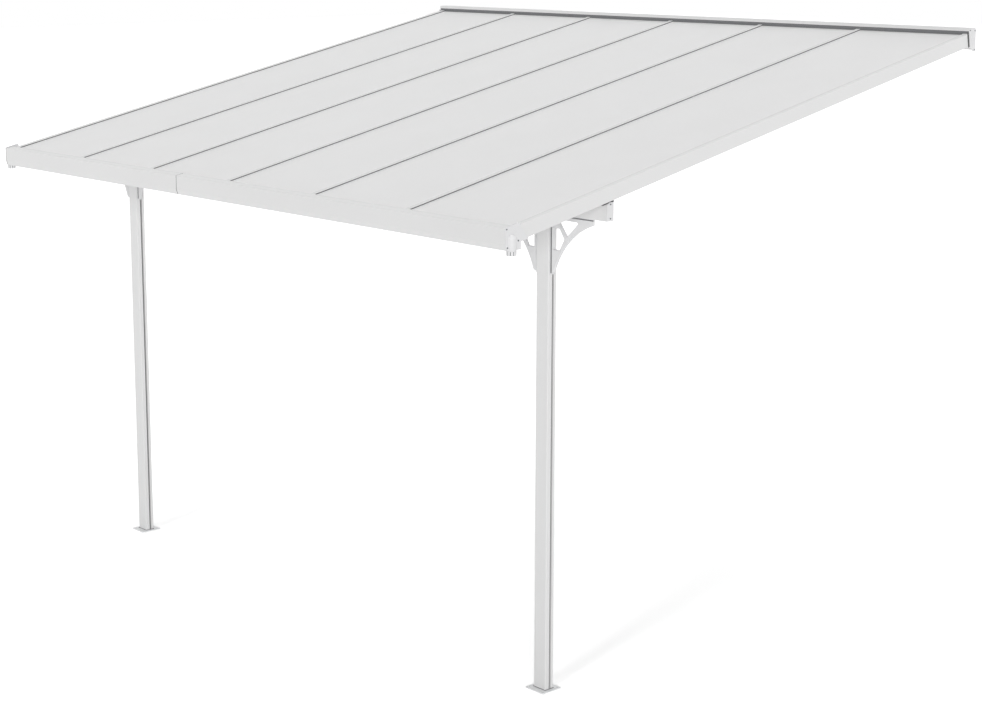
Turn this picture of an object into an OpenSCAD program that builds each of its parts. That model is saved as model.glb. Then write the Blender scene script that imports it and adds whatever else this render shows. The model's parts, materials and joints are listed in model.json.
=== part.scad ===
// Attached patio cover: a sloping roof of twin-wall sheets on aluminium rafters,
// hung from a bar on the wall and carried in front by a beam on two posts.
// Millimetres. X runs along the wall, Y into the wall, Z up.
// The origin is on the back face of the wall bar, at the middle of its length.

/* [Roof] */
// Distance between rafter centre lines
panel_pitch = 700; // [500:10:1000]
// Number of roof panels side by side
panel_count = 6; // [3:1:8]
// Fall of the roof towards the front, degrees
slope = 12.2; // [5:0.1:20]
// From the wall to the front face of the gutter
projection = 3395; // [2400:5:4200]
// Thickness of a roof panel
panel_t = 6; // [4:1:10]

/* [Rafters] */
// Width of the rafter box under the panels
rafter_w = 30; // [24:1:40]
// Width of the box of the two side rafters
side_rafter_w = 40; // [34:1:60]
// Depth of a rafter below the top of the panels
rafter_depth = 61; // [45:1:90]
// Width of the strip on top of a rafter, which laps both panels
rafter_cap_w = 24; // [16:1:30]
// Thickness of that strip
rafter_cap_t = 3; // [2:0.5:5]
// Room for the rubber seals between that strip and the panels
seal_t = 4; // [2:0.5:6]
// Wall of the extruded profiles
wall_t = 2.5; // [1.5:0.5:3]

/* [Wall bar] */
// Height of the middle of the wall bar above the ground
bar_height = 3025; // [2600:5:3600]
// From the origin up to the top of the hood
bar_above = 61; // [55:1:80]
// From the origin down to the foot of the bar
bar_below = 55; // [50:1:80]
// How far the hood stands out over the panels
hood_d = 60; // [50:1:80]
// Height of the lip along the front of the hood
hood_lip = 17; // [8:1:20]
// Radius of the holes for the wall screws
wall_hole_r = 5; // [3:0.5:7]

/* [Gutter] */
// Height of the gutter's front face
gutter_h = 98; // [80:1:120]
// Depth of the trough from front to back
gutter_d = 83; // [70:1:110]
// How far the lip on top of the front face runs back
lip_d = 42; // [30:1:60]
// Rise of that lip from front to back
lip_rise = 8; // [4:1:15]
// Place of the joint between the two lengths, from the middle
gutter_joint_x = -363; // [-1000:1:1000]
// Outside radius of the round spout under each end
spout_r = 20; // [18:1:30]
// How far the spout reaches below the gutter
spout_h = 22; // [15:1:40]

/* [Beam and posts] */
// Depth of the support beam, front to back
beam_d = 42; // [36:1:60]
// Height of the support beam
beam_h = 88; // [60:1:120]
// From the wall to the middle of beam and posts
beam_y = 2740; // [2000:5:3100]
// Width of a post along the wall
post_w = 80; // [70:1:90]
// Depth of a post, front to back
post_d = 53; // [46:1:70]
// Middle of the left post
post_left_x = -1781; // [-1900:1:-700]
// Middle of the right post
post_right_x = 1700; // [700:1:1850]
// Width of the slot down each side of a post
slot_w = 12; // [10:1:14]
// Depth of that slot
slot_d = 12; // [8:1:14]
// How far the slot sits behind the middle of the post
slot_back = 4; // [0:1:6]

/* [Brackets and feet] */
// Reach of a bracket along the beam
bracket_reach = 277; // [240:1:300]
// Drop of a bracket down the post
bracket_drop = 285; // [260:1:320]
// Radius of the hollow edge of a bracket
bracket_arc_r = 381; // [360:1:420]
// Thickness of a bracket, front to back
bracket_t = 14; // [10:1:20]
// Side of the square foot plate
foot_w = 125; // [115:1:160]
// Thickness of the foot plate
foot_t = 5; // [4:1:10]
// Distance between the holes of a foot plate
foot_hole_pitch = 95; // [90:1:120]
// Radius of those holes
foot_hole_r = 5.5; // [4:0.5:7]

/* [Hidden] */
$fn = 96;

aluminium = "whitesmoke";
moulding = "gainsboro";
sheet = "lightblue";

// Roof plane: the top of the panels, measured from the front edge of the hood.
roof_z0 = 23;
half_roof = panel_pitch * panel_count / 2;
end_x = half_roof + side_rafter_w / 2 + 2;
drop = rafter_depth / cos(slope);
function roof_z(y) = roof_z0 + (y + hood_d) * tan(slope);
function seat_z(y) = roof_z(y) - drop;
function rafter_x(i) = -half_roof + i * panel_pitch;

// The bar on the wall. Its shelf carries the rafters and its hood covers them.
bar_t = 3;
shelf_y = -54;
wall_hole_x = [0.5, 1.5, 2.5];

// Rafters run from just in front of the wall to the back of the gutter.
rafter_back_y = -18;
rafter_front_y = -projection + gutter_d;
web_t = 4;
panel_gap = 3;
panel_back_y = -10;
panel_front_y = rafter_front_y - 18;

// Gutter sheet, drawn along its inner face from the flange under the rafters.
gutter_t = 3;
gutter_front_y = -projection + gutter_t;
gutter_back_y = rafter_front_y + gutter_t;
gutter_top_z = roof_z(-projection) + 18;
gutter_floor_z = gutter_top_z - gutter_h + gutter_t;
gutter_bevel = [7.5, 23];
flange_d = 48;
trough_path = [
    [gutter_back_y, seat_z(gutter_back_y)],
    [gutter_back_y, gutter_floor_z],
    [gutter_front_y + gutter_bevel[0], gutter_floor_z],
    [gutter_front_y, gutter_floor_z + gutter_bevel[1]],
    [gutter_front_y, gutter_top_z - gutter_t]
];
gutter_path = concat(
    [[gutter_back_y + flange_d, seat_z(gutter_back_y + flange_d)]],
    trough_path,
    [[gutter_front_y + lip_d, gutter_top_z - gutter_t + lip_rise]]
);
joint_len = 120;
sleeve_t = 2;

// Room for the rubber seals between the two lengths, and between them and the end caps.
joint_gap = 4;
cap_gap = 3;

// Outlet: a domed hood on the end cap, and a round spout under it.
cap_t = 5;
cap_rise = 20;
cap_sleeve = 15;
outlet_t = 3;
outlet_out = 20;
hood_r = spout_r + 2.5;
outlet_x = end_x + cap_t + outlet_out - hood_r;
outlet_y = -projection + 35;
dome_z = gutter_floor_z + 45;
under_z = gutter_floor_z - gutter_t;
spout_low_z = under_z - spout_h;

// Beam, posts and their pieces.
beam_front_y = -beam_y - beam_d / 2;
seat_min = 3;
beam_top_z = seat_z(beam_front_y) - seat_min;
beam_low_z = beam_top_z - beam_h;
beam_cap_t = 4;
beam_end_x = half_roof + 6;
beam_seat_w = 24;
beam_seat_in = 12;
spigot_l = 12;
ground_z = -bar_height;
post_r = 4;
slot_wall = 2.5;
foot_r = 8;
spigot_h = 60;
spigot_gap = 0.5;
spigot_t = 4;

// Bracket: a Y between two round-cornered openings. Its toe is bevelled to a narrow foot.
bracket_toe = 27;
bracket_foot = 6;
bracket_bevel_h = 14;
bracket_tip = 29;
bracket_flange_t = 3;
window_r = 6;
post_window = [[27, -71], [62, -71], [89, -112], [61, -160], [27, -160]];
beam_window = [[61, -29], [175, -30], [110, -92]];

// Groove along both edges of a bracket, and the tongue that fills the post's slot.
groove_at = 7;
groove_w = 8;
groove_h = 6;
groove_deep = 9;
tongue_gap = 1;
tongue_out = 8;

// A bent sheet of thickness t on the left of a path, with mitred corners.
function unit(v) = v / norm(v);
function left_of(v) = [-v[1], v[0]];
function side_normal(path, i) = left_of(unit(path[i] - path[i - 1]));
function mitre(path, i, t) =
    let (before = side_normal(path, max(i, 1)))
    let (after = side_normal(path, min(i + 1, len(path) - 1)))
    path[i] + t * (before + after) / (1 + before * after);
function far_side(path, t) = [for (i = [0 : len(path) - 1]) mitre(path, i, t)];
function reversed(path) = [for (i = [len(path) - 1 : -1 : 0]) path[i]];
function bent_sheet(path, t) = concat(path, reversed(far_side(path, t)));

// Extrudes a section drawn as [Y, Z] along X, between two places.
module along_x(x0, x1) {
    translate([x0, 0, 0])
        rotate([90, 0, 90])
            linear_extrude(x1 - x0) children();
}

// Extrudes a section drawn as [X, height] down the slope of the roof.
module down_roof(back_y, front_y) {
    translate([0, back_y, roof_z(back_y)])
        rotate([slope, 0, 0])
            rotate([90, 0, 0])
                linear_extrude((back_y - front_y) / cos(slope)) children();
}

module box_2d(x0, x1, y0, y1) {
    translate([x0, y0]) square([x1 - x0, y1 - y0]);
}

module round_box_2d(w, d, r) {
    square([w - 2 * r, d], center = true);
    square([w, d - 2 * r], center = true);
    for (x = [-1, 1], y = [-1, 1])
        translate([x * (w / 2 - r), y * (d / 2 - r)]) circle(r);
}

// Wall bar

module wall_bar_section() {
    box_2d(-bar_t, 0, -bar_below, bar_above);
    box_2d(-hood_d, 0, bar_above - bar_t, bar_above);
    box_2d(-hood_d, -hood_d + bar_t, bar_above - hood_lip, bar_above);
    polygon(bent_sheet([
        [-bar_t, seat_z(-bar_t)],
        [shelf_y, seat_z(shelf_y)],
        [-bar_t, -bar_below + bar_t]
    ], bar_t));
}

module wall_bar() {
    color(aluminium) difference() {
        along_x(-end_x, end_x) wall_bar_section();
        for (side = [-1, 1], step = wall_hole_x)
            translate([side * step * panel_pitch, 1, 0])
                rotate([90, 0, 0]) cylinder(h = bar_t + 2, r = wall_hole_r);
    }
}

bar_cap_rib = 2;
bar_cap_low = bar_below + 8;
bar_cap_top = bar_above - 3;
bar_cap_slant = 6;
bar_cap_outline = [
    [0, -bar_cap_low], [0, bar_cap_top], [-hood_d, bar_cap_top],
    [-hood_d, bar_above - hood_lip - 8],
    [shelf_y + bar_cap_slant, seat_z(shelf_y)], [-16, -bar_cap_low]
];
bar_cap_valley = [[-50, 12], [-24, -40], [-8, 12]];

module wall_bar_cap() {
    color(moulding) {
        along_x(end_x, end_x + bar_cap_rib) polygon(bar_cap_outline);
        along_x(end_x + bar_cap_rib, end_x + 2 * bar_cap_rib) difference() {
            polygon(bar_cap_outline);
            polygon(bar_cap_valley);
        }
    }
}

module wall_bar_cap_left() mirror([1, 0, 0]) wall_bar_cap();
module wall_bar_cap_right() wall_bar_cap();

// Rafters and panels

// A box under the panels, with a web and a strip on top that run on as far as they do.
module rafter_box(w) {
    difference() {
        box_2d(-w / 2, w / 2, -rafter_depth, -panel_t);
        box_2d(-w / 2 + wall_t, w / 2 - wall_t, -rafter_depth + wall_t, -panel_t - wall_t);
    }
}

module rafter_top() {
    box_2d(-rafter_cap_w / 2, rafter_cap_w / 2, seal_t, seal_t + rafter_cap_t);
    box_2d(-web_t / 2, web_t / 2, -panel_t - wall_t, seal_t + 1);
}

module side_rafter_top() {
    out = side_rafter_w / 2;
    box_2d(-rafter_cap_w / 2, out, seal_t, seal_t + rafter_cap_t);
    box_2d(out - wall_t, out, -panel_t - wall_t, seal_t + 1);
}

module rafter(i) {
    color(aluminium) translate([rafter_x(i), 0, 0]) {
        down_roof(rafter_back_y, rafter_front_y) rafter_box(rafter_w);
        down_roof(rafter_back_y, panel_front_y) rafter_top();
    }
}

module side_rafter_right() {
    color(aluminium) translate([half_roof, 0, 0]) {
        down_roof(rafter_back_y, rafter_front_y) rafter_box(side_rafter_w);
        down_roof(rafter_back_y, panel_front_y) side_rafter_top();
    }
}

module side_rafter_left() mirror([1, 0, 0]) side_rafter_right();

module roof_panel(i) {
    color(sheet, 0.6)
        down_roof(panel_back_y, panel_front_y)
            box_2d(rafter_x(i - 1) + panel_gap, rafter_x(i) - panel_gap, -panel_t, 0);
}

// Gutter

module gutter_length(x0, x1) {
    color(aluminium) along_x(x0, x1) polygon(bent_sheet(gutter_path, gutter_t));
}

module gutter_left() gutter_length(-end_x + cap_gap, gutter_joint_x - joint_gap / 2);
module gutter_right() gutter_length(gutter_joint_x + joint_gap / 2, end_x - cap_gap);

module gutter_joint() {
    color(moulding)
        along_x(gutter_joint_x - joint_len / 2, gutter_joint_x + joint_len / 2)
            polygon(bent_sheet(trough_path, -sleeve_t));
}

// The end cap stands above the lip and reaches back to the rafters.
module gutter_cap_outline() {
    polygon(concat(
        far_side(concat([gutter_path[0]], trough_path), gutter_t),
        [[-projection, gutter_top_z + 2], [gutter_back_y - 6, gutter_top_z + cap_rise]],
        [[gutter_back_y, gutter_top_z]]
    ));
}

// A vertical pipe with a domed top.
module domed_pipe(r) {
    translate([outlet_x, outlet_y, under_z]) cylinder(h = dome_z - under_z, r = r);
    translate([outlet_x, outlet_y, dome_z]) sphere(r);
}

// The part of the domed pipe beyond a place on X.
module hood_beyond(x, r) {
    room = 4 * hood_r;
    intersection() {
        domed_pipe(r);
        translate([x, outlet_y - room / 2, under_z]) cube(room);
    }
}

module gutter_cap() {
    plate_x = end_x + cap_t;
    bore_r = spout_r - outlet_t;
    color(moulding) difference() {
        union() {
            along_x(end_x, plate_x) gutter_cap_outline();
            along_x(end_x - cap_sleeve, end_x) polygon(bent_sheet(trough_path, -sleeve_t));
            hood_beyond(plate_x - 1, hood_r);
            translate([outlet_x, outlet_y, spout_low_z]) cylinder(h = spout_h, r = spout_r);
        }
        hood_beyond(end_x - 1, bore_r);
        translate([outlet_x, outlet_y, spout_low_z - 1]) cylinder(h = spout_h + 1, r = bore_r);
    }
}

module gutter_cap_left() mirror([1, 0, 0]) gutter_cap();
module gutter_cap_right() gutter_cap();

// Support beam

module beam_section(inset) {
    translate([-beam_y, (beam_top_z + beam_low_z) / 2])
        square([beam_d - 2 * inset, beam_h - 2 * inset], center = true);
}

module support_beam() {
    color(aluminium) along_x(-beam_end_x + beam_cap_t, beam_end_x - beam_cap_t) difference() {
        beam_section(0);
        beam_section(wall_t);
    }
}

module beam_cap_right() {
    color(moulding) {
        along_x(beam_end_x - beam_cap_t, beam_end_x) beam_section(0);
        along_x(beam_end_x - beam_cap_t - spigot_l, beam_end_x - beam_cap_t) beam_section(wall_t);
    }
}

module beam_cap_left() mirror([1, 0, 0]) beam_cap_right();

module beam_seat(x) {
    front = beam_front_y + 3;
    back = beam_front_y + beam_d - 3;
    along_x(x - beam_seat_w / 2, x + beam_seat_w / 2) polygon([
        [front, beam_top_z], [back, beam_top_z], [back, seat_z(back)], [front, seat_z(front)]
    ]);
}

module beam_seats() {
    color(moulding) {
        for (i = [1 : panel_count - 1]) beam_seat(rafter_x(i));
        for (side = [-1, 1]) beam_seat(side * (half_roof - beam_seat_in));
    }
}

// Posts

module post_section() {
    difference() {
        round_box_2d(post_w, post_d, post_r);
        for (side = [-1, 1]) translate([side * post_w / 2, slot_back])
            square([2 * slot_d, slot_w], center = true);
        difference() {
            square([post_w - 2 * wall_t, post_d - 2 * wall_t], center = true);
            for (side = [-1, 1]) translate([side * post_w / 2, slot_back])
                square([2 * (slot_d + slot_wall), slot_w + 2 * slot_wall], center = true);
        }
    }
}

module post(x) {
    color(aluminium) translate([x, -beam_y, ground_z + foot_t])
        linear_extrude(beam_low_z - ground_z - foot_t) post_section();
}

module foot(x) {
    inner_w = post_w - 2 * (slot_d + slot_wall + spigot_gap);
    inner_d = post_d - 2 * (wall_t + spigot_gap);
    color(moulding) translate([x, -beam_y, ground_z]) {
        linear_extrude(foot_t) difference() {
            round_box_2d(foot_w, foot_w, foot_r);
            for (i = [-1, 1], j = [-1, 1])
                translate([i * foot_hole_pitch / 2, j * foot_hole_pitch / 2]) circle(foot_hole_r);
        }
        linear_extrude(foot_t + spigot_h) difference() {
            square([inner_w, inner_d], center = true);
            square([inner_w - 2 * spigot_t, inner_d - 2 * spigot_t], center = true);
        }
    }
}

// Brackets, drawn from the corner where the post meets the beam

// Centre of the hollow arc that passes the toe on the post and the tip on the beam.
toe = [bracket_toe, -bracket_drop + bracket_bevel_h];
tip = [bracket_reach, -bracket_tip];
chord = norm(tip - toe);
arc_centre = (toe + tip) / 2 - left_of(unit(tip - toe)) * sqrt(bracket_arc_r ^ 2 - (chord / 2) ^ 2);

// An outline whose corners are rounded outwards, for corners listed clockwise.
corner_steps = 6;
function heading(v) = atan2(v[1], v[0]);
function turn(from, to) = -((heading(from) - heading(to) + 360) % 360);
function round_corner(before, at, after, r) =
    let (start = left_of(unit(at - before)))
    let (sweep = turn(start, left_of(unit(after - at))))
    [for (k = [0 : corner_steps]) let (a = heading(start) + sweep * k / corner_steps)
        at + r * [cos(a), sin(a)]];
function round_outline(corners, r) =
    let (n = len(corners))
    [for (i = [0 : n - 1]) each
        round_corner(corners[(i + n - 1) % n], corners[i], corners[(i + 1) % n], r)];

module bracket_web() {
    difference() {
        polygon([
            [0, 0], [0, -bracket_drop], [bracket_foot, -bracket_drop],
            toe, [bracket_reach, toe[1]], [bracket_reach, 0]
        ]);
        translate(arc_centre) circle(bracket_arc_r, $fn = 240);
        polygon(round_outline(post_window, window_r));
        polygon(round_outline(beam_window, window_r));
    }
}

// The groove runs down beside the post and out under the flange.
module bracket_groove() {
    top = -bracket_flange_t;
    box_2d(groove_at, groove_at + groove_w, -bracket_drop - 1, top);
    box_2d(groove_at, bracket_reach + 1, top - groove_h, top);
}

// Stands a section drawn as [X, Z] upright, from its front face at Y back by a depth.
module upright(front, depth) {
    translate([0, front + depth, 0]) rotate([90, 0, 0]) linear_extrude(depth) children();
}

module bracket(post_x, side) {
    front = -beam_d / 2;
    tongue_w = slot_w - 2 * tongue_gap;
    tongue_front = slot_back - tongue_w / 2;
    color(moulding)
        translate([post_x + side * post_w / 2, -beam_y, beam_low_z])
            mirror([side < 0 ? 1 : 0, 0, 0]) {
                difference() {
                    upright(front, bracket_t) bracket_web();
                    upright(front - 1, groove_deep + 1) bracket_groove();
                }
                upright(front, beam_d) box_2d(0, bracket_reach, -bracket_flange_t, 0);
                upright(front + bracket_t - 1, tongue_front + tongue_w - front - bracket_t + 1)
                    box_2d(0, tongue_out, -bracket_drop, 0);
                upright(tongue_front, tongue_w)
                    box_2d(-slot_d + tongue_gap, 1, -bracket_drop, 0);
            }
}

wall_bar();
wall_bar_cap_left();
wall_bar_cap_right();
side_rafter_left();
side_rafter_right();
rafter(1);  // rafter_1
rafter(2);  // rafter_2
rafter(3);  // rafter_3
rafter(4);  // rafter_4
rafter(5);  // rafter_5
roof_panel(1);  // roof_panel_1
roof_panel(2);  // roof_panel_2
roof_panel(3);  // roof_panel_3
roof_panel(4);  // roof_panel_4
roof_panel(5);  // roof_panel_5
roof_panel(6);  // roof_panel_6
gutter_left();
gutter_right();
gutter_joint();
gutter_cap_left();
gutter_cap_right();
support_beam();
beam_cap_left();
beam_cap_right();
beam_seats();
post(post_left_x);  // post_left
post(post_right_x);  // post_right
bracket(post_left_x, -1);  // bracket_left_outer
bracket(post_left_x, 1);  // bracket_left_inner
bracket(post_right_x, -1);  // bracket_right_inner
bracket(post_right_x, 1);  // bracket_right_outer
foot(post_left_x);  // foot_left
foot(post_right_x);  // foot_right
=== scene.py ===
# %% [markdown]
# # An attached patio cover
# A patio cover of this kind is a kit: white powder-coated aluminium profiles, opal twin-wall
# sheets, rubber seals and a few white mouldings. The CAD frame already holds every piece at its
# real size. This lesson gives each surface its finish and adds what is too fine for the frame:
# the air cells in the sheets, the seals, the screws and the ribs on the spouts.

# %% Load the frame
import json
import math

import bmesh
import bpy
from mathutils import Matrix, Vector


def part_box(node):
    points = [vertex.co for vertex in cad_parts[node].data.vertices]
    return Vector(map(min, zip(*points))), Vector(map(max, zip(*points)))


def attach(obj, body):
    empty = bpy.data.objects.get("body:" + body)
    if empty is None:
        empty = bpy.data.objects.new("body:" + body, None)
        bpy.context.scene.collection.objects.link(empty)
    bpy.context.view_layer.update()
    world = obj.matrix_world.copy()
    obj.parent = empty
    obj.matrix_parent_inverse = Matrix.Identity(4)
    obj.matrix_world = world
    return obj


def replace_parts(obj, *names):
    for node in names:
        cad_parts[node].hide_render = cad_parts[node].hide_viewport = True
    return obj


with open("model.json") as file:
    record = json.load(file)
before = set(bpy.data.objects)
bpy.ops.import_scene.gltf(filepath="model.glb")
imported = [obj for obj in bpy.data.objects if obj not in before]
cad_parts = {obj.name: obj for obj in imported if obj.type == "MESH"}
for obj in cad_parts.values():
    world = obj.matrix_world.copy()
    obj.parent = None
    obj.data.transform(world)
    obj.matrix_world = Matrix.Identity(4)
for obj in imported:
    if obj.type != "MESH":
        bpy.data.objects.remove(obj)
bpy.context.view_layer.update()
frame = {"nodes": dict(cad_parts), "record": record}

# %% [markdown]
# ## Camera
# The camera was fitted to the straight edges in the photograph: the roof's rafters, the gutter
# and the posts. It stands to the right of the roof, half a metre higher than the wall bar, and
# looks down a little. A small shift places the object in the frame, as a photographer does with
# a rising front.

# %% Camera
PHOTO_W = 982
CAMERA_AT = Vector((8.179, -9.023, 0.542))
AZIMUTH = math.radians(47.62)
ELEVATION = math.radians(10.39)
ROLL = math.radians(0.13)
FOCAL_PX = 1977.3
SHIFT_PX = (3.8, -55.7)
SENSOR_MM = 36.0
FAR_CLIP = 200.0


def camera_axes(azimuth, elevation, roll):
    forward = Vector((
        -math.sin(azimuth) * math.cos(elevation),
        math.cos(azimuth) * math.cos(elevation),
        -math.sin(elevation),
    ))
    level = Vector((math.cos(azimuth), math.sin(azimuth), 0))
    upward = level.cross(forward)
    right = level * math.cos(roll) + upward * math.sin(roll)
    return right, right.cross(forward), forward


def make_camera():
    data = bpy.data.cameras.new("photo_camera")
    data.sensor_width = SENSOR_MM
    data.lens = FOCAL_PX * SENSOR_MM / PHOTO_W
    data.shift_x, data.shift_y = (v / PHOTO_W for v in SHIFT_PX)
    data.clip_end = FAR_CLIP
    camera = bpy.data.objects.new("photo_camera", data)
    bpy.context.scene.collection.objects.link(camera)
    right, upward, forward = camera_axes(AZIMUTH, ELEVATION, ROLL)
    turn = Matrix((right, upward, -forward)).transposed().to_4x4()
    camera.matrix_world = Matrix.Translation(CAMERA_AT) @ turn
    bpy.context.scene.camera = camera
    print("camera lens", round(data.lens, 2), "mm")


make_camera()

# %% [markdown]
# ## Nodes and colours
# Two helpers serve every material and every Geometry Nodes tree in this file. One turns a
# colour as it is written for a screen into the linear values that the shaders use. The other
# adds a node, sets it and links its inputs in one line, so that a tree reads like a recipe.

# %% Node and colour helpers
MM = 0.001


def linear(code):
    channels = [int(code[i:i + 2], 16) / 255 for i in (1, 3, 5)]
    light = [c / 12.92 if c <= 0.04045 else ((c + 0.055) / 1.055) ** 2.4 for c in channels]
    return light + [1.0]


def add(tree, kind, inputs=None, **settings):
    node = tree.nodes.new(kind)
    for name, value in settings.items():
        setattr(node, name, value)
    for name, value in (inputs or {}).items():
        if isinstance(value, bpy.types.NodeSocket):
            tree.links.new(value, node.inputs[name])
        else:
            node.inputs[name].default_value = value
    return node


def new_material(name):
    material = bpy.data.materials.new(name)
    material.use_nodes = True
    tree = material.node_tree
    tree.nodes.clear()
    return material, tree, add(tree, "ShaderNodeTexCoord")


def close_material(material, tree, shader):
    add(tree, "ShaderNodeOutputMaterial", {"Surface": shader.outputs[0]})
    print("material", material.name)
    return material


# %% [markdown]
# ## White powder-coated aluminium
# The profiles are extruded, then sprayed with dry polyester powder and baked. The coat is a
# satin white that hides the metal. Close up it has a faint orange peel, about 2 mm from bump to
# bump, and over a long bar the white drifts by about one part in a hundred. The peel is a bump
# from one noise, and the drift is a mix of two near whites from another.

# %% White powder-coated aluminium
PEEL_STRENGTH = 0.25


def speckled_white(name, light, dark, roughness, peel_mm, peel_depth_mm, drift_mm):
    material, tree, place = new_material(name)
    drift = add(tree, "ShaderNodeTexNoise", {
        "Vector": place.outputs["Object"], "Scale": 1 / (drift_mm * MM), "Detail": 2.0})
    peel = add(tree, "ShaderNodeTexNoise", {
        "Vector": place.outputs["Object"], "Scale": 1 / (peel_mm * MM), "Detail": 3.0})
    tone = add(tree, "ShaderNodeMix", {
        0: drift.outputs[0], 6: linear(dark), 7: linear(light)}, data_type="RGBA")
    relief = add(tree, "ShaderNodeBump", {
        "Height": peel.outputs[0], "Strength": PEEL_STRENGTH, "Distance": peel_depth_mm * MM})
    shader = add(tree, "ShaderNodeBsdfPrincipled", {
        "Base Color": tone.outputs[2], "Roughness": roughness, "Normal": relief.outputs[0]})
    return close_material(material, tree, shader)


powder_coat = speckled_white(
    "white_powder_coated_aluminium", "#E1E1E1", "#DDDDDD",
    roughness=0.38, peel_mm=2.0, peel_depth_mm=0.05, drift_mm=600)

# %% [markdown]
# ## White moulded plastic
# End caps and brackets are injection moulded in white ABS. The tool's fine spark-eroded skin
# gives a softer gloss than the powder coat, with a grain of about half a millimetre. That is
# too fine to show from where the camera stands, so it is drawn at 1 mm.

# %% White moulded plastic
moulded_abs = speckled_white(
    "white_moulded_ABS", "#E1E1E2", "#DCDCDD",
    roughness=0.5, peel_mm=1.0, peel_depth_mm=0.03, drift_mm=250)

# %% [markdown]
# ## White coated steel
# The foot plates are cut from 5 mm steel sheet and coated like the profiles. The coat is a
# little thicker and rounds the edges. Their white is set lighter than the profiles' white as a
# painted highlight, for the light that falls on the plates' flat tops near the floor.

# %% White coated steel
# lighter white: painted highlight on the flat foot plates
coated_steel = speckled_white(
    "white_powder_coated_steel_painted_lighter", "#F6F7F8", "#F0F1F2",
    roughness=0.45, peel_mm=2.5, peel_depth_mm=0.08, drift_mm=120)

# %% [markdown]
# ## EPDM rubber
# The seals are extruded EPDM, in three greys. The flap under the hood and the strips in the
# posts are mid grey, and the lips on the roof are darker. Those in the gutter and under the
# rafters are black, which on rubber means a dark grey, because it scatters a little light and
# dulls outdoors. The mid grey and the black are also painted shade: most pieces made of them
# sit in gaps, grooves, slots and creases and darken them as shade would. A soft noise of 15 mm
# stands for the bloom on its surface.

# %% EPDM rubber
BLOOM_MM = 15


def make_rubber(name, light, dark):
    material, tree, place = new_material(name)
    bloom = add(tree, "ShaderNodeTexNoise", {
        "Vector": place.outputs["Object"], "Scale": 1 / (BLOOM_MM * MM), "Detail": 4.0})
    tone = add(tree, "ShaderNodeMix", {
        0: bloom.outputs[0], 6: linear(dark), 7: linear(light)}, data_type="RGBA")
    shader = add(tree, "ShaderNodeBsdfPrincipled", {
        "Base Color": tone.outputs[2], "Roughness": 0.75})
    return close_material(material, tree, shader)


# mid grey rubber: its own grey, and painted shade where it fills gaps, slots and grooves
rubber = make_rubber("grey_EPDM_rubber", "#7B7C7E", "#6F7072")
lip_rubber = make_rubber("dark_grey_EPDM_rubber", "#58595C", "#4E4F52")
# black rubber: its own colour, and painted shade where it fills dark gaps
black_rubber_and_shade = make_rubber("black_EPDM_rubber_and_painted_shade", "#3C3D3F", "#323335")

# %% [markdown]
# ## Zinc-plated steel
# The screws are plated steel, passivated to a blue grey. Zinc grows in small crystals, so the
# roughness varies from grain to grain of about 0.3 mm.

# %% Zinc-plated steel
ZINC_GRAIN_MM = 0.3


def make_zinc():
    material, tree, place = new_material("zinc_plated_steel")
    grain = add(tree, "ShaderNodeTexNoise", {
        "Vector": place.outputs["Object"], "Scale": 1 / (ZINC_GRAIN_MM * MM), "Detail": 2.0})
    rough = add(tree, "ShaderNodeMapRange", {
        "Value": grain.outputs[0], "To Min": 0.3, "To Max": 0.45})
    shader = add(tree, "ShaderNodeBsdfPrincipled", {
        "Base Color": linear("#777A7D"), "Metallic": 1.0, "Roughness": rough.outputs[0]})
    return close_material(material, tree, shader)


zinc = make_zinc()

# %% [markdown]
# ## Opal polycarbonate
# The sheet is extruded polycarbonate with a white pigment. It lets through about a quarter of the
# light and scatters all of it, so the beam under the roof shows only as a soft band. Part of the
# light passes through rough transmission, and the rest comes back from the white pigment. The
# pigment is not quite even, which a noise of 350 mm shows as a faint cloud.

# %% Opal polycarbonate
OPAL_CLOUD_MM = 350


def make_opal():
    material, tree, place = new_material("opal_twin_wall_polycarbonate")
    cloud = add(tree, "ShaderNodeTexNoise", {
        "Vector": place.outputs["Object"], "Scale": 1 / (OPAL_CLOUD_MM * MM), "Detail": 2.0})
    tone = add(tree, "ShaderNodeMix", {
        0: cloud.outputs[0], 6: linear("#F6F6F6"), 7: linear("#FAFAFA")}, data_type="RGBA")
    shader = add(tree, "ShaderNodeBsdfPrincipled", {
        "Base Color": tone.outputs[2], "Roughness": 0.45, "IOR": 1.58,
        "Transmission Weight": 0.22})
    return close_material(material, tree, shader)


opal = make_opal()

# %% [markdown]
# ## Finishes on the CAD pieces
# The solids of the frame keep their shape. Each takes the finish of its kind: mouldings and
# the foot plates have their own, and every other piece is a powder-coated profile.

# %% Finishes on the CAD pieces
FINISH_OF_SLOT = {
    "white_aluminium": powder_coat,
    "white_moulding": moulded_abs,
    "white_steel": coated_steel,
    "opal_sheet": opal,
}
SLOT_OF = {part["node"]: part["material_slot"] for part in frame["record"]["subparts"]}


def dress_cad_pieces():
    for name, obj in frame["nodes"].items():
        obj.data.materials.clear()
        obj.data.materials.append(FINISH_OF_SLOT[SLOT_OF[name]])
    print("dressed", len(SLOT_OF), "CAD pieces")


dress_cad_pieces()

# %% [markdown]
# ## The roof plane
# Everything on the roof lies on one plane, the top of the sheets. It starts at the front edge of
# the wall bar's hood and falls by 12.2 degrees. One matrix carries a piece that is drawn flat,
# with its length along -Y, down that slope. A rafter runs down each side of the roof and between
# its six bays, and the bays are 700 mm apart.

# %% The roof plane
SLOPE = math.radians(12.2)
HOOD_D = 60 * MM
ROOF_Z0 = 23 * MM
BAYS = 6
PITCH = 700 * MM
HALF_ROOF = BAYS / 2 * PITCH
PANELS = sorted(name for name in frame["nodes"] if name.startswith("roof_panel_"))


def roof_z(y):
    return ROOF_Z0 + (y + HOOD_D) * math.tan(SLOPE)


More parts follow.
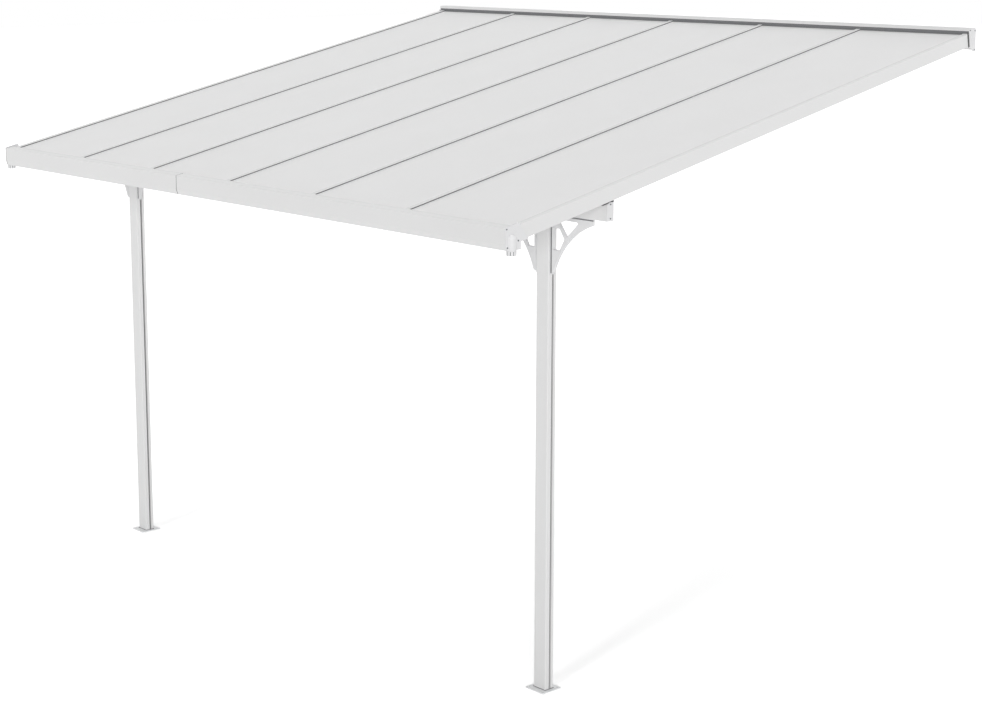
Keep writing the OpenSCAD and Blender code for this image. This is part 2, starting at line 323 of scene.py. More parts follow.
def on_roof(x, y):
    return Matrix.Translation((x, y, roof_z(y))) @ Matrix.Rotation(SLOPE, 4, "X")


def rafter_x(i):
    return -HALF_ROOF + i * PITCH


panel_low, panel_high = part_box(PANELS[0])
print("roof falls from", round(roof_z(panel_high.y), 3), "to", round(roof_z(panel_low.y), 3))

# %% [markdown]
# ## Growing a mesh from a tree
# Each repeated piece is grown by a Geometry Nodes tree with named inputs. The helper sets those
# inputs, evaluates the tree once and keeps the result as a plain mesh, so that the finished
# piece has no modifier left on it.

# %% Growing a mesh from a tree
def new_tree(name, sizes):
    tree = bpy.data.node_groups.new(name, "GeometryNodeTree")
    tree.interface.new_socket("Geometry", in_out="INPUT", socket_type="NodeSocketGeometry")
    for size, kind in sizes.items():
        tree.interface.new_socket(size, in_out="INPUT", socket_type="NodeSocket" + kind)
    tree.interface.new_socket("Geometry", in_out="OUTPUT", socket_type="NodeSocketGeometry")
    return tree, add(tree, "NodeGroupInput").outputs


def close_tree(tree, shape, material):
    solid = add(tree, "GeometryNodeRealizeInstances", {0: shape})
    dressed = add(tree, "GeometryNodeSetMaterial", {0: solid.outputs[0], "Material": material})
    add(tree, "NodeGroupOutput", {0: dressed.outputs[0]})


def grow(tree, values, start=None):
    holder = bpy.data.objects.new("grower", start or bpy.data.meshes.new("empty"))
    bpy.context.scene.collection.objects.link(holder)
    modifier = holder.modifiers.new("grow", "NODES")
    modifier.node_group = tree
    for item in tree.interface.items_tree:
        if item.in_out == "INPUT" and item.name in values:
            modifier[item.identifier] = values[item.name]
    graph = bpy.context.evaluated_depsgraph_get()
    mesh = bpy.data.meshes.new_from_object(holder.evaluated_get(graph))
    bpy.data.objects.remove(holder)
    return mesh


def make_piece(name, mesh, place=Matrix()):
    mesh.name = name
    mesh.transform(place)
    piece = bpy.data.objects.new(name, mesh)
    bpy.context.scene.collection.objects.link(piece)
    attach(piece, "root")
    print("piece", name, len(mesh.polygons), "faces")
    return piece


# %% [markdown]
# ## Edges of the mouldings
# Nothing that comes out of a mould, and nothing that is stamped and coated, has a knife edge. A
# radius of about a millimetre gives each edge its thin bright line. The frame's solid is copied,
# its loose triangles are merged and its flat faces joined again, and then only its sharp edges
# are rounded, so that the size stays the same.

# %% Edges of the mouldings
SHARP = math.radians(32)
FLAT = math.radians(0.5)
SAME_POINT = 0.005 * MM
EDGE_STEPS = 2
EDGE_R_MM = {
    "bracket": 1.2, "gutter_cap": 0.9, "wall_bar_cap": 0.6, "beam_cap": 1.2, "foot": 1.0}


def softened(source, radius, material):
    form = bmesh.new()
    form.from_mesh(source)
    bmesh.ops.remove_doubles(form, verts=form.verts, dist=SAME_POINT)
    bmesh.ops.dissolve_limit(form, angle_limit=FLAT, verts=form.verts, edges=form.edges)
    bmesh.ops.recalc_face_normals(form, faces=form.faces)
    edges = [e for e in form.edges if e.is_manifold and e.calc_face_angle() > SHARP]
    bmesh.ops.bevel(form, geom=edges, offset=radius, segments=EDGE_STEPS, profile=0.5,
                    affect="EDGES", clamp_overlap=True)
    bmesh.ops.recalc_face_normals(form, faces=form.faces)
    open_edges = sum(not e.is_manifold for e in form.edges)
    mesh = bpy.data.meshes.new("softened")
    form.to_mesh(mesh)
    form.free()
    mesh.materials.append(material)
    return mesh, len(edges), open_edges


def soften_mouldings():
    for name, obj in sorted(frame["nodes"].items()):
        kind = next((k for k in EDGE_R_MM if name.startswith(k + "_")), None)
        if not kind:
            continue
        finish = FINISH_OF_SLOT[SLOT_OF[name]]
        mesh, rounded, open_edges = softened(obj.data, EDGE_R_MM[kind] * MM, finish)
        print(name, rounded, "edges rounded,", open_edges, "open")
        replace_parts(make_piece("soft_" + name, mesh), name)


soften_mouldings()

# %% [markdown]
# ## Twin-wall sheets
# A twin-wall sheet is two skins held apart by upright webs, one every 6 mm, and the long air
# cells between them keep the heat in. A solid slab with a stripe texture would do from far off,
# but the cells show at the open ends and from below, so each web is a real wall. The webs
# follow a rule, so a tree sets them out along a line and spans them with the two skins.

# %% Twin-wall sheets
SHEET_T = 6 * MM
SKIN_T = 0.5 * MM
WEB_PITCH = 6 * MM


def sheet_tree():
    tree, size = new_tree("twin wall sheet", {
        "Width": "Float", "Length": "Float", "Thickness": "Float", "Skin": "Float",
        "Pitch": "Float", "Finish": "Material"})

    def calc(operation, a, b):
        return add(tree, "ShaderNodeMath", {0: a, 1: b}, operation=operation).outputs[0]

    def vector(x, y, z):
        return add(tree, "ShaderNodeCombineXYZ", {0: x, 1: y, 2: z}).outputs[0]

    width, length, skin = size["Width"], size["Length"], size["Skin"]
    core = calc("SUBTRACT", size["Thickness"], calc("MULTIPLY", skin, 2.0))
    half_length = calc("MULTIPLY", length, -0.5)
    high_z = calc("MULTIPLY", skin, -0.5)
    low_z = calc("SUBTRACT", calc("MULTIPLY", skin, 0.5), size["Thickness"])
    skin_box = add(tree, "GeometryNodeMeshCube", {"Size": vector(width, length, skin)})
    top, bottom = (add(tree, "GeometryNodeTransform", {
        0: skin_box.outputs[0], "Translation": vector(0.0, half_length, z)})
        for z in (high_z, low_z))
    web = add(tree, "GeometryNodeMeshCube", {"Size": vector(skin, length, core)})
    run = calc("SUBTRACT", width, skin)
    count = calc("ADD", calc("FLOOR", calc("DIVIDE", run, size["Pitch"]), 0.0), 1.0)
    step = calc("DIVIDE", run, calc("SUBTRACT", count, 1.0))
    mid_z = calc("MULTIPLY", size["Thickness"], -0.5)
    line = add(tree, "GeometryNodeMeshLine", {
        "Count": count, "Start Location": vector(calc("MULTIPLY", run, -0.5), half_length, mid_z),
        "Offset": vector(step, 0.0, 0.0)})
    webs = add(tree, "GeometryNodeInstanceOnPoints", {
        "Points": line.outputs[0], "Instance": web.outputs[0]})
    whole = add(tree, "GeometryNodeJoinGeometry")
    for part in (top, bottom, webs):
        tree.links.new(part.outputs[0], whole.inputs[0])
    close_tree(tree, whole.outputs[0], size["Finish"])
    return tree


def make_sheets(tree):
    for name in PANELS:
        low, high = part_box(name)
        top_y = high.y - SHEET_T * math.sin(SLOPE)
        mesh = grow(tree, {
            "Width": high.x - low.x, "Length": (top_y - low.y) / math.cos(SLOPE),
            "Thickness": SHEET_T, "Skin": SKIN_T, "Pitch": WEB_PITCH, "Finish": opal})
        place = on_roof((low.x + high.x) / 2, top_y)
        sheet = make_piece("twin_wall_sheet_" + name[-1], mesh, place)
        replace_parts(sheet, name)


make_sheets(sheet_tree())

# %% [markdown]
# ## Strips along a path
# Seals are extrusions: one small section that follows a line. The tree takes the path as a chain
# of edges, turns it into a curve and sweeps a rectangle with rounded corners along it, so that
# the rubber doesn't look like a cut board. Straight and bent seals both come from it.

# %% A tree for strips
def strip_tree():
    tree, size = new_tree("strip along a path", {
        "Width": "Float", "Height": "Float", "Corner": "Float", "Finish": "Material"})
    path = add(tree, "GeometryNodeMeshToCurve", {"Mesh": size["Geometry"]})
    section = add(tree, "GeometryNodeCurvePrimitiveQuadrilateral", {
        "Width": size["Width"], "Height": size["Height"]})
    rounded = add(tree, "GeometryNodeFilletCurve", {
        "Curve": section.outputs[0], "Radius": size["Corner"], "Count": 2}, mode="POLY")
    swept = add(tree, "GeometryNodeCurveToMesh", {
        "Curve": path.outputs[0], "Profile Curve": rounded.outputs[0], "Fill Caps": True})
    close_tree(tree, swept.outputs[0], size["Finish"])
    return tree


strips = strip_tree()


def strip(path, width, height, corner=0.6 * MM, finish=rubber, closed=False):
    chain = bpy.data.meshes.new("path")
    last = len(path) - 1
    steps = [(i, i + 1) for i in range(last)] + ([(last, 0)] if closed else [])
    chain.from_pydata(path, steps, [])
    section = {"Width": width, "Height": height, "Corner": corner, "Finish": finish}
    return grow(strips, section, chain)


def join_meshes(meshes, material):
    whole = bmesh.new()
    for mesh in meshes:
        whole.from_mesh(mesh)
    bmesh.ops.recalc_face_normals(whole, faces=whole.faces)
    joined = bpy.data.meshes.new("joined")
    whole.to_mesh(joined)
    whole.free()
    joined.materials.append(material)
    return joined


# %% [markdown]
# ## Seals beside the rafters
# A rubber lip sits under each edge of a rafter's top strip and presses on the sheet. From the
# front right only the lip on the right of each strip shows, as one thin dark line. The left lip
# of the left side rafter and the right lip of the right one would lie on metal, so they are
# left out, as on the real profile.

# %% Seals beside the rafters
CAP_W = 24 * MM
SEAL_T = 4 * MM
SEAL_W = 5 * MM
SEAL_PROUD = 1.0 * MM
SEAL_BACK_Y = -16 * MM
SEAL_FRONT_Y = -3329 * MM


def make_rafter_seals():
    length = (SEAL_BACK_Y - SEAL_FRONT_Y) / math.cos(SLOPE)
    out = CAP_W / 2 - SEAL_W / 2 + SEAL_PROUD
    z = SEAL_T / 2
    for i in range(BAYS + 1):
        x = rafter_x(i)
        sides = [s for s in (-1, 1) if abs(x + s * out) < HALF_ROOF]
        meshes = [strip([(s * out, 0, z), (s * out, -length, z)], SEAL_W, SEAL_T,
                        finish=lip_rubber) for s in sides]
        make_piece(f"rafter_seal_{i}", join_meshes(meshes, lip_rubber),
                   place=on_roof(x, SEAL_BACK_Y))


# %% [markdown]
# ## Seal under the hood
# Water must not run back under the hood of the wall bar, so a rubber flap hangs behind its lip.
# One long strip lies just above the rafters, and under it a flap in each bay reaches down to the
# sheets. Together they are the broad dark line along the wall. Their grey is partly the rubber's
# own and partly painted shade: the flaps fill the gap under the hood, which is in shade, with
# one even grey.

# %% Seal under the hood
BAR_TOP_Z = 61 * MM
HOOD_LIP = 17 * MM
HOOD_T = 3 * MM
FLAP_T = 3 * MM
FLAP_TUCK = 2 * MM
FLAP_END = 1 * MM
OVER_RAFTERS = 7.2 * MM
OVER_SHEET = 0.5 * MM
FLAP_GAP = 0.1 * MM
BAY_EDGE = 13.5 * MM
SIDE_BAY_EDGE = 22 * MM


def make_hood_seal():
    low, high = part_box("wall_bar")
    top_z = BAR_TOP_Z - HOOD_LIP + FLAP_TUCK
    low_z = ROOF_Z0 + OVER_RAFTERS
    y = low.y + HOOD_T + FLAP_T / 2
    sheet_z = roof_z(y + FLAP_T) + OVER_SHEET

    def flap(x0, x1, z0, z1):
        middle = (z0 + z1) / 2
        return strip([(x0, y, middle), (x1, y, middle)], FLAP_T, z1 - z0)

    meshes = [flap(low.x + FLAP_END, high.x - FLAP_END, low_z, top_z)]
    # each bay's flap fills the shaded gap down to the sheet: painted shade
    for i in range(BAYS):
        x0 = rafter_x(i) + (SIDE_BAY_EDGE if i == 0 else BAY_EDGE)
        x1 = rafter_x(i + 1) - (SIDE_BAY_EDGE if i == BAYS - 1 else BAY_EDGE)
        meshes.append(flap(x0, x1, sheet_z, low_z - FLAP_GAP))
    make_piece("hood_seal", join_meshes(meshes, rubber))


# %% Make the seals
make_rafter_seals()
make_hood_seal()

# %% [markdown]
# ## Seals of the gutter
# The gutter comes in two lengths. Where they meet, and before each end cap, a rubber seal fills
# a gap of a few millimetres. It follows the bent section from the flange under the rafters,
# round the trough and up to the lip, so the path is that section's middle line. At the joint
# and the left cap the seal is black, which is partly the rubber's own colour and partly painted
# shade for the dark gap there. At the right cap, where the gap shows no shade, it is white
# moulding.

# %% Seals of the gutter
GUTTER_LOW, GUTTER_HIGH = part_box("gutter_left")
SHEET_METAL_T = 3 * MM
LIP_D = 42 * MM
LIP_RISE = 8 * MM
BEVEL_D = 7.5 * MM
BEVEL_H = 23 * MM
TROUGH_D = 83 * MM
GUTTER_H = 98 * MM
RAFTER_DEPTH = 61 * MM
SEAL_INSET = 0.2 * MM
FINE_CORNER = 0.4 * MM
CAP_PLATE_X = 2122 * MM


def seat_z(y):
    return roof_z(y) - RAFTER_DEPTH / math.cos(SLOPE)


def gutter_middle_line(x):
    half = SHEET_METAL_T / 2
    front = GUTTER_LOW.y + half
    back = GUTTER_LOW.y + TROUGH_D + half
    floor = GUTTER_LOW.z + half
    top = GUTTER_LOW.z + GUTTER_H - half
    flange = GUTTER_HIGH.y - half
    line = [
        (flange, seat_z(flange) - half), (back, seat_z(back) - half), (back, floor),
        (front + BEVEL_D, floor), (front, floor + BEVEL_H), (front, top),
        (front + LIP_D - half, top + LIP_RISE),
    ]
    return [(x, y, z) for y, z in line]


def make_gutter_seals():
    places = {
        "joint": (GUTTER_HIGH.x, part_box("gutter_right")[0].x),
        "left": (-CAP_PLATE_X, GUTTER_LOW.x),
        "right": (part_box("gutter_right")[1].x, CAP_PLATE_X),
    }
    for name, (x0, x1) in places.items():
        # black at the joint and the left cap is partly painted shade for the gap; white at the
        # right cap
        white = name == "right"
        finish, slot = (moulded_abs, "white_moulding") if white else (black_rubber_and_shade, None)
        thick = SHEET_METAL_T - 2 * SEAL_INSET
        mesh = strip(gutter_middle_line((x0 + x1) / 2), x1 - x0, thick, FINE_CORNER)
        make_piece("gutter_seal_" + name, join_meshes([mesh], finish))
        print("seal", name, round((x1 - x0) / MM, 1), "mm wide")


make_gutter_seals()

# %% [markdown]
# ## Painted shadow gaps at the wall bar's caps, and pads on the beam
# A black rubber edge closes the gap between each end cap of the wall bar and the side rafter. It
# is cut square to the rafter. It is painted shadow: it stands for the dark gap there, into which
# no light gets. A rubber pad under each side rafter keeps the sloping aluminium from rattling on
# the beam. It starts in front of the beam and fills the wedge over the beam's top, so its outline
# is drawn in side view and pushed out along X. It shows as a short dark line, which is partly
# the pad's own black and partly painted shade for the gap under the rafter.

# %% Straight solids along X
def prism(profile, x0, x1):
    form = bmesh.new()
    ends = [[form.verts.new((x, y, z)) for y, z in profile] for x in (x0, x1)]
    for ring in ends:
        form.faces.new(ring)
    for i in range(len(profile)):
        j = (i + 1) % len(profile)
        form.faces.new((ends[0][i], ends[0][j], ends[1][j], ends[1][i]))
    bmesh.ops.recalc_face_normals(form, faces=form.faces)
    mesh = bpy.data.meshes.new("prism")
    form.to_mesh(mesh)
    form.free()
    return mesh


# %% Painted shadow gaps at the wall bar's caps, and pads on the beam
SIDE_FACE_X = 2120 * MM
BAR_SHADOW_GAP_MM = [(-67.0, 34.0), (-53.0, -41.0)]
BAR_SHADOW_GAP_W = 3 * MM
BAR_SHADOW_GAP_H = 6 * MM
BEAM_Y = -2740 * MM
PAD_Y = (-2800 * MM, -2732 * MM)
PAD_T = 6 * MM
PAD_X_MM = (2084, 2118)
PAD_FIT = 0.5 * MM
SIDES = (("left", -1), ("right", 1))


def make_side_rubbers():
    beam_low, beam_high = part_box("support_beam")
    y0, y1 = PAD_Y
    stop = beam_low.y - PAD_FIT
    under = [(y0, seat_z(y0) - PAD_T), (stop, seat_z(stop) - PAD_T), (stop, beam_high.z),
             (y1, beam_high.z), (y1, seat_z(y1)), (y0, seat_z(y0))]
    for side, sign in SIDES:
        # a black strip that is painted shadow for the gap between the cap and the rafter
        x = sign * (SIDE_FACE_X + BAR_SHADOW_GAP_W / 2)
        edge = strip([(x, y * MM, z * MM) for y, z in BAR_SHADOW_GAP_MM], BAR_SHADOW_GAP_W, BAR_SHADOW_GAP_H)
        make_piece("bar_cap_seal_" + side, join_meshes([edge], black_rubber_and_shade))
        # a black pad, partly real and partly painted shade for the gap under the rafter
        pad = prism(under, *sorted(sign * v * MM for v in PAD_X_MM))
        make_piece("rafter_pad_" + side, join_meshes([pad], black_rubber_and_shade))


make_side_rubbers()

# %% [markdown]
# ## Seals round the feet
# Rain that runs down a post would creep into its foot, so a thin rubber ring lies where the post
# stands on its plate. Its grey is painted shade: it darkens the crease where the post meets the
# plate, and it is the dark line round the bottom of each post.

# %% Seals round the feet
FOOT_T = 5 * MM
FOOT_SEAL_W = 2 * MM
FOOT_SEAL_H = 2.6 * MM
FOOT_SEAL_FIT = 0.1 * MM
FOOT_SEAL_CORNER = 0.5 * MM


def make_foot_seals():
    for side, _ in SIDES:
        low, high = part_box("post_" + side)
        out = FOOT_SEAL_W / 2 + FOOT_SEAL_FIT
        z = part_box("foot_" + side)[0].z + FOOT_T + FOOT_SEAL_H / 2
        ring = [(low.x - out, low.y - out, z), (high.x + out, low.y - out, z),
                (high.x + out, high.y + out, z), (low.x - out, high.y + out, z)]
        # grey ring: painted shade in the crease at the foot
        mesh = strip(ring, FOOT_SEAL_W, FOOT_SEAL_H, FOOT_SEAL_CORNER, closed=True)
        make_piece("foot_seal_" + side, join_meshes([mesh], rubber))


make_foot_seals()

# %% [markdown]
# ## Strips in the posts' slots
# The slot down each side of a post takes the bracket's tongue at the top. Below it, a rubber
# strip is pushed into the slot to cover its bottom, so that the slot shows as one grey line. The
# strip is painted shade: its grey stands for the shade down in the slot.

# %% Strips in the posts' slots
SLOT_BACK = 4 * MM
SLOT_STRIP_W = 11.4 * MM
SLOT_STRIP_T = 3 * MM
SLOT_STRIP_DEEP = 8.5 * MM
SLOT_STRIP_OFF_FOOT = 1 * MM
SLOT_STRIP_UNDER_TONGUE = 2 * MM


def make_slot_strips():
    for side, _ in SIDES:
        low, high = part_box("post_" + side)
        y = (low.y + high.y) / 2 + SLOT_BACK
        z0 = low.z + SLOT_STRIP_OFF_FOOT
        z1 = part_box(f"bracket_{side}_outer")[0].z - SLOT_STRIP_UNDER_TONGUE
        inside = SLOT_STRIP_DEEP + SLOT_STRIP_T / 2
        # grey strips: painted shade deep in the slot
        meshes = [strip([(x, y, z0), (x, y, z1)], SLOT_STRIP_W, SLOT_STRIP_T)
                  for x in (low.x + inside, high.x - inside)]
        make_piece("slot_strips_post_" + side, join_meshes(meshes, rubber))


make_slot_strips()

# %% [markdown]
# ## Strips in the brackets' grooves
# Each bracket has a groove beside the post and under the beam. On the right of a post it holds a
# grey rubber strip, the dark angle, which is painted shade: it stands for the shade in the groove
# seen from this side. On the left that shade doesn't show, so there a white moulded strip
# closes it.

# %% Strips in the brackets' grooves
BRACKET_NODES = {
    "bracket_left_outer": ("post_left", -1), "bracket_left_inner": ("post_left", 1),
    "bracket_right_inner": ("post_right", -1), "bracket_right_outer": ("post_right", 1),
}
GROOVE_MIDDLE = 11 * MM
GROOVE_W = 8 * MM
GROOVE_UNDER = 6 * MM
GROOVE_H = 6 * MM
GROOVE_FIT = 0.3 * MM
GROOVE_START = 8 * MM
GROOVE_END = 1 * MM
STRIP_FRONT_Y = BEAM_Y - 20.6 * MM
STRIP_T = 5 * MM


def make_bracket_strips():
    for node, (post, side) in BRACKET_NODES.items():
        # grey rubber on the right is painted shade in the groove; white moulding on the left
        finish, slot = (rubber, None) if side > 0 else (moulded_abs, "white_moulding")
        post_low, post_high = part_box(post)
        face_x = post_high.x if side > 0 else post_low.x
        low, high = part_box(node)
        tip_x = high.x if side > 0 else low.x
        x, y, z = face_x + side * GROOVE_MIDDLE, STRIP_FRONT_Y + STRIP_T / 2, high.z - GROOVE_UNDER
        down = strip([(x, y, low.z + GROOVE_START), (x, y, z)],
                     STRIP_T, GROOVE_W - GROOVE_FIT, FINE_CORNER, finish)
        along = strip([(x, y, z), (tip_x - side * GROOVE_END, y, z)],
                      STRIP_T, GROOVE_H - GROOVE_FIT, FINE_CORNER, finish)
        make_piece("groove_strip_" + node, join_meshes([down, along], finish))


make_bracket_strips()

# %% [markdown]
# ## Closures on the sheets
# An open sheet would fill with dust and algae, so a U-shaped closure is pushed over its lower
# end. It is drawn as one outline, flat, and carried down the slope to the sheet's edge.

# %% Closures on the sheets
CLOSURE_T_MM = 1.0
CLOSURE_LEG_MM = 14.0
CLOSURE_FIT_MM = 0.05


def make_closures():
    out, leg, fit = CLOSURE_T_MM + CLOSURE_FIT_MM, CLOSURE_LEG_MM, CLOSURE_FIT_MM
    deep = SHEET_T / MM
    outline = [
        (-out, out), (leg, out), (leg, fit), (-fit, fit),
        (-fit, -deep - fit), (leg, -deep - fit), (leg, -deep - out), (-out, -deep - out),
    ]
    profile = [(y * MM, z * MM) for y, z in outline]
    for name in PANELS:
        low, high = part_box(name)
        half = (high.x - low.x) / 2
        mesh = prism(profile, -half, half)
        mesh.materials.append(powder_coat)
        make_piece("sheet_closure_" + name[-1], mesh,
                   on_roof((low.x + high.x) / 2, low.y))


make_closures()

# %% [markdown]
# ## Screws
# Short pan-head screws hold the end caps, the brackets and the gutter. One head is spun from its
# outline, with a round socket, as on a lathe. A tree sets a copy on each point of a list, turned
# to face outwards.

# %% A screw head
HEAD_OUTLINE_MM = [
    (0, 0.8), (1.2, 0.8), (1.5, 2.0), (2.4, 2.1), (3.1, 1.7), (3.5, 0.9), (3.6, -0.5), (0, -0.5)]
HEAD_SIDES = 20
LATHE_MERGE = 0.02 * MM


def turned(outline_mm, sides):
    form = bmesh.new()
    points = [form.verts.new((r * MM, 0, z * MM)) for r, z in outline_mm]
    edges = [form.edges.new(pair) for pair in zip(points, points[1:])]
    bmesh.ops.spin(form, geom=points + edges, cent=(0, 0, 0), axis=(0, 0, 1),
                   angle=math.tau, steps=sides, use_merge=True)
    bmesh.ops.remove_doubles(form, verts=form.verts, dist=LATHE_MERGE)
    bmesh.ops.recalc_face_normals(form, faces=form.faces)
    mesh = bpy.data.meshes.new("turned")
    form.to_mesh(mesh)
    form.free()
    return mesh


# %% A tree that sets screws on points
def screw_tree():
    tree, size = new_tree("screws on points", {"Head": "Object", "Finish": "Material"})
    head = add(tree, "GeometryNodeObjectInfo", {"Object": size["Head"]})
    aim = add(tree, "GeometryNodeInputNamedAttribute", {"Name": "aim"}, data_type="FLOAT_VECTOR")
    turn = add(tree, "FunctionNodeAlignRotationToVector", {"Vector": aim.outputs[0]}, axis="Z")
    heads = add(tree, "GeometryNodeInstanceOnPoints", {
        "Points": size["Geometry"], "Instance": head.outputs["Geometry"],
        "Rotation": turn.outputs[0]})
    close_tree(tree, heads.outputs[0], size["Finish"])
    return tree


screws = screw_tree()
head_object = bpy.data.objects.new("screw_head", turned(HEAD_OUTLINE_MM, HEAD_SIDES))
bpy.context.scene.collection.objects.link(head_object)


def make_screws(name, places):
    points = bpy.data.meshes.new("points")
    points.from_pydata([p for p, _ in places], [], [])
    aims = points.attributes.new("aim", "FLOAT_VECTOR", "POINT")
    for item, (_, aim) in zip(aims.data, places):
        item.vector = aim
    mesh = grow(screws, {"Head": head_object, "Finish": zinc}, points)
    make_piece(name, mesh)


# %% [markdown]
# ## Where the screws go
# The end caps of the gutter and of the wall bar have three each, and the end caps of the beam
# two. Under the roof, two hold each rafter to the gutter's flange, and two hold each bracket to
# the beam.

# %% Place the screws
GUTTER_CAP_SCREWS_MM = [(-3390, -685), (-3385, -765), (-3322, -739)]
CAP_PLATE_T = 5 * MM
BEAM_CAP_SCREW_IN = 12 * MM
BAR_CAP_SCREWS_MM = [(-53, 48), (-9.4, 46), (-9, -54)]
FLANGE_SCREW_Y = -3285 * MM
FLANGE_SCREW_OUT = 8 * MM
BRACKET_SCREWS_MM = [70, 245]
BRACKET_FLANGE_T = 3 * MM
BRACKET_SCREW_Y = BEAM_Y + 9 * MM


def outer_x(node, sign):
    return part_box(node)[0 if sign < 0 else 1].x


def place_cap_screws():
    for side, sign in SIDES:
        out = Vector((sign, 0, 0))
        plate_x = sign * (CAP_PLATE_X + CAP_PLATE_T)
        make_screws("gutter_cap_screws_" + side, [
            ((plate_x, y * MM, z * MM), out) for y, z in GUTTER_CAP_SCREWS_MM])
        beam_cap = "beam_cap_" + side
        low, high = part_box(beam_cap)
        make_screws("beam_cap_screws_" + side, [
            ((outer_x(beam_cap, sign), BEAM_Y, z), out)
            for z in (low.z + BEAM_CAP_SCREW_IN, high.z - BEAM_CAP_SCREW_IN)])
        bar_x = outer_x("wall_bar_cap_" + side, sign)
        make_screws("wall_bar_cap_screws_" + side, [
            ((bar_x, y * MM, z * MM), out) for y, z in BAR_CAP_SCREWS_MM])


def place_under_screws():
    down = Vector((0, math.sin(SLOPE), -math.cos(SLOPE)))
    z = seat_z(FLANGE_SCREW_Y) - SHEET_METAL_T / math.cos(SLOPE)
    make_screws("gutter_flange_screws", [
        ((rafter_x(i) + s * FLANGE_SCREW_OUT, FLANGE_SCREW_Y, z), down)
        for i in range(BAYS + 1) for s in (-1, 1)])
    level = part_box("support_beam")[0].z - BRACKET_FLANGE_T
    for side, _ in SIDES:
        low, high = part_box("post_" + side)
        xs = [v for d in BRACKET_SCREWS_MM for v in (low.x - d * MM, high.x + d * MM)]
        make_screws("bracket_screws_" + side, [
            ((x, BRACKET_SCREW_Y, level), Vector((0, 0, -1))) for x in xs])


place_cap_screws()
place_under_screws()

# %% [markdown]
# ## Ribs on the spouts
# The spout under each end cap has upright ribs, so that a hose clip grips it. They repeat round a
# circle, so a tree puts a short bar on each point of a ring. A thin rubber sleeve lies between
# them and seals the hose. Its grey is painted shade: it shows as a few dark flutes, where the
# shade between the ribs would fall.

# %% Ribs on the spouts
SPOUT_R = 20 * MM
HOOD_R = 22.5 * MM
SPOUT_Y = -3360 * MM
RIBS_UP = 10 * MM
RIB_COUNT = 10
RIB_MM = (3.4, 10.2, 18.0)
SLEEVE_MM = [(20.1, 1.0), (20.8, 1.0), (20.8, 18.0), (20.1, 18.0), (20.1, 1.0)]
SLEEVE_SIDES = 40


def rib_tree():
    tree, size = new_tree("ribs on a ring", {
        "Radius": "Float", "Count": "Int", "Rib": "Vector", "Finish": "Material"})
    ring = add(tree, "GeometryNodeMeshCircle", {
        "Vertices": size["Count"], "Radius": size["Radius"]})
    bar = add(tree, "GeometryNodeMeshCube", {"Size": size["Rib"]})
    outward = add(tree, "GeometryNodeInputPosition")
    turn = add(tree, "FunctionNodeAlignRotationToVector", {"Vector": outward.outputs[0]}, axis="X")
    bars = add(tree, "GeometryNodeInstanceOnPoints", {
        "Points": ring.outputs[0], "Instance": bar.outputs[0], "Rotation": turn.outputs[0]})
    close_tree(tree, bars.outputs[0], size["Finish"])
    return tree


def make_spout_ribs():
    tree = rib_tree()
    for side, sign in SIDES:
        cap = "gutter_cap_" + side
        x, z = outer_x(cap, sign) - sign * HOOD_R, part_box(cap)[0].z
        mesh = grow(tree, {
            "Radius": SPOUT_R, "Count": RIB_COUNT,
            "Rib": tuple(v * MM for v in RIB_MM), "Finish": moulded_abs})
        place = Matrix.Translation((x, SPOUT_Y, z + RIBS_UP))
        make_piece("spout_ribs_" + side, mesh, place)
        # grey sleeve: painted shade between the ribs
        sleeve = turned(SLEEVE_MM, SLEEVE_SIDES)
        sleeve.materials.append(rubber)
        make_piece("spout_sleeve_" + side, sleeve, place=Matrix.Translation((x, SPOUT_Y, z)))


make_spout_ribs()
bpy.data.objects.remove(head_object)

# %% [markdown]
# ## Floor and light
# The set is a studio with a white floor and an even white dome. A broad lamp above lights the
# roof. One from the front lights the floor alone, so that it lays a faint shadow behind each
# post and doesn't make the front of the gutter too bright. A low fill from the camera's side
# reaches under the roof, and weaker fills light the other sides, so that upright faces are about
# as light as the top. To the camera, to glossy rays and to rays that pass through the sheets, the
# floor and the sky are the white of the page. The lamps are set so that the object's own whites
# stay below clipping from the camera.

# %% Floor
GROUND_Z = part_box("foot_left")[0].z
FLOOR_HALF = 60.0
FLOOR_GLOW = 0.42


def seen_directly(tree):
    ray = add(tree, "ShaderNodeLightPath").outputs
    glossy = add(tree, "ShaderNodeMath", {
        0: ray["Is Camera Ray"], 1: ray["Is Glossy Ray"]}, operation="MAXIMUM")
    either = add(tree, "ShaderNodeMath", {
        0: glossy.outputs[0], 1: ray["Is Transmission Ray"]}, operation="MAXIMUM")
    return either.outputs[0]


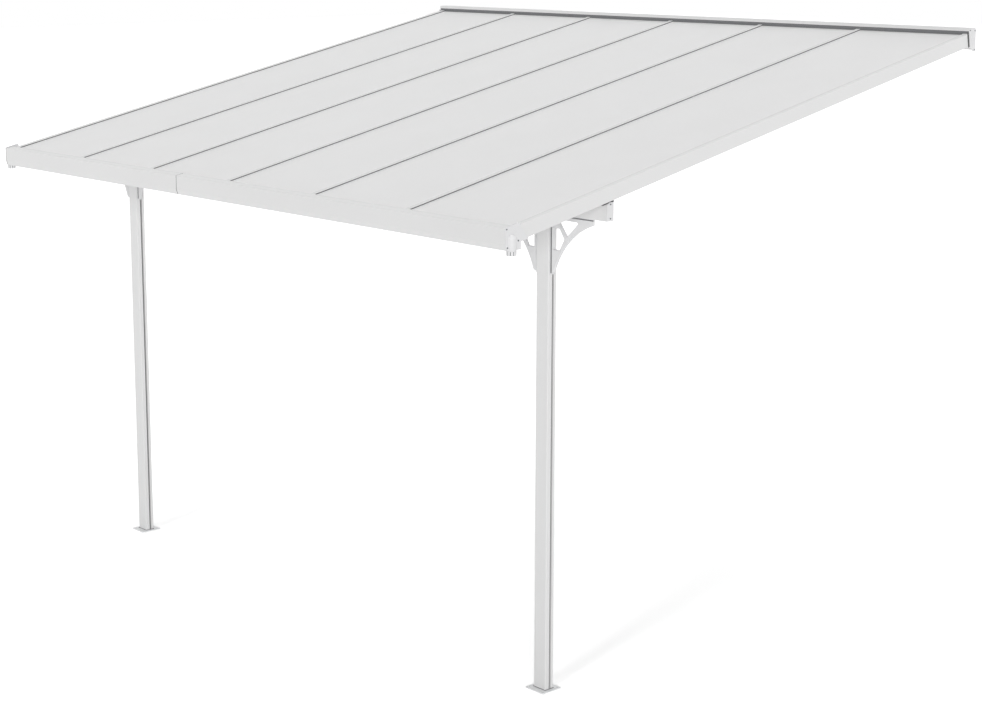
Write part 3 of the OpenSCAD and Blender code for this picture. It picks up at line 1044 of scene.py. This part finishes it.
def make_floor():
    material, tree, _ = new_material("studio_floor")
    matt = add(tree, "ShaderNodeBsdfDiffuse", {"Color": linear("#EDEDED")})
    glow = add(tree, "ShaderNodeEmission", {"Strength": FLOOR_GLOW})
    bright = add(tree, "ShaderNodeAddShader", {0: matt.outputs[0], 1: glow.outputs[0]})
    shader = add(tree, "ShaderNodeMixShader", {
        0: seen_directly(tree), 1: matt.outputs[0], 2: bright.outputs[0]})
    close_material(material, tree, shader)
    mesh = bpy.data.meshes.new("floor")
    corners = [(-1, -1), (1, -1), (1, 1), (-1, 1)]
    points = [(x * FLOOR_HALF, y * FLOOR_HALF, GROUND_Z) for x, y in corners]
    mesh.from_pydata(points, [], [(0, 1, 2, 3)])
    mesh.materials.append(material)
    floor = bpy.data.objects.new("floor", mesh)
    bpy.context.scene.collection.objects.link(floor)
    return floor


floor = make_floor()

# %% Light
DOME_LEVEL = 0.40
# each lamp's strength, how wide it looks and where it shines
LAMPS = {
    "top_lamp": (0.98, math.radians(30), Vector((0.0, 0.0, -1.0))),
    "floor_lamp": (0.75, math.radians(8), Vector((-0.3, 1.0, -0.62))),
    "camera_fill": (1.45, math.radians(20), Vector((-0.726, 0.663, -0.18))),
    "right_fill": (0.12, math.radians(40), Vector((-1.0, 0.1, -0.08))),
    "left_fill": (0.6, math.radians(40), Vector((1.0, 0.1, -0.08))),
    "back_fill": (0.9, math.radians(40), Vector((0.0, -1.0, -0.08))),
}
FLOOR_LAMP = "floor_lamp"


def make_dome():
    world = bpy.data.worlds.new("studio_dome")
    world.use_nodes = True
    tree = world.node_tree
    tree.nodes.clear()
    lit = add(tree, "ShaderNodeBackground", {"Color": linear("#FFFFFF"), "Strength": DOME_LEVEL})
    seen = add(tree, "ShaderNodeBackground", {"Color": linear("#FFFFFF"), "Strength": 1.0})
    mix = add(tree, "ShaderNodeMixShader", {
        0: seen_directly(tree), 1: lit.outputs[0], 2: seen.outputs[0]})
    add(tree, "ShaderNodeOutputWorld", {"Surface": mix.outputs[0]})
    bpy.context.scene.world = world
    bpy.context.scene.view_settings.view_transform = "Standard"


def make_lamps():
    for name, (level, angle, towards) in LAMPS.items():
        lamp = bpy.data.lights.new(name, "SUN")
        lamp.energy = level
        lamp.angle = angle
        holder = bpy.data.objects.new(name, lamp)
        holder.rotation_euler = towards.to_track_quat("-Z", "Y").to_euler()
        bpy.context.scene.collection.objects.link(holder)
        if name == FLOOR_LAMP:
            lit = bpy.data.collections.new("lit_floor")
            lit.objects.link(floor)
            holder.light_linking.receiver_collection = lit
        print("lamp", name, level)


make_dome()
make_lamps()
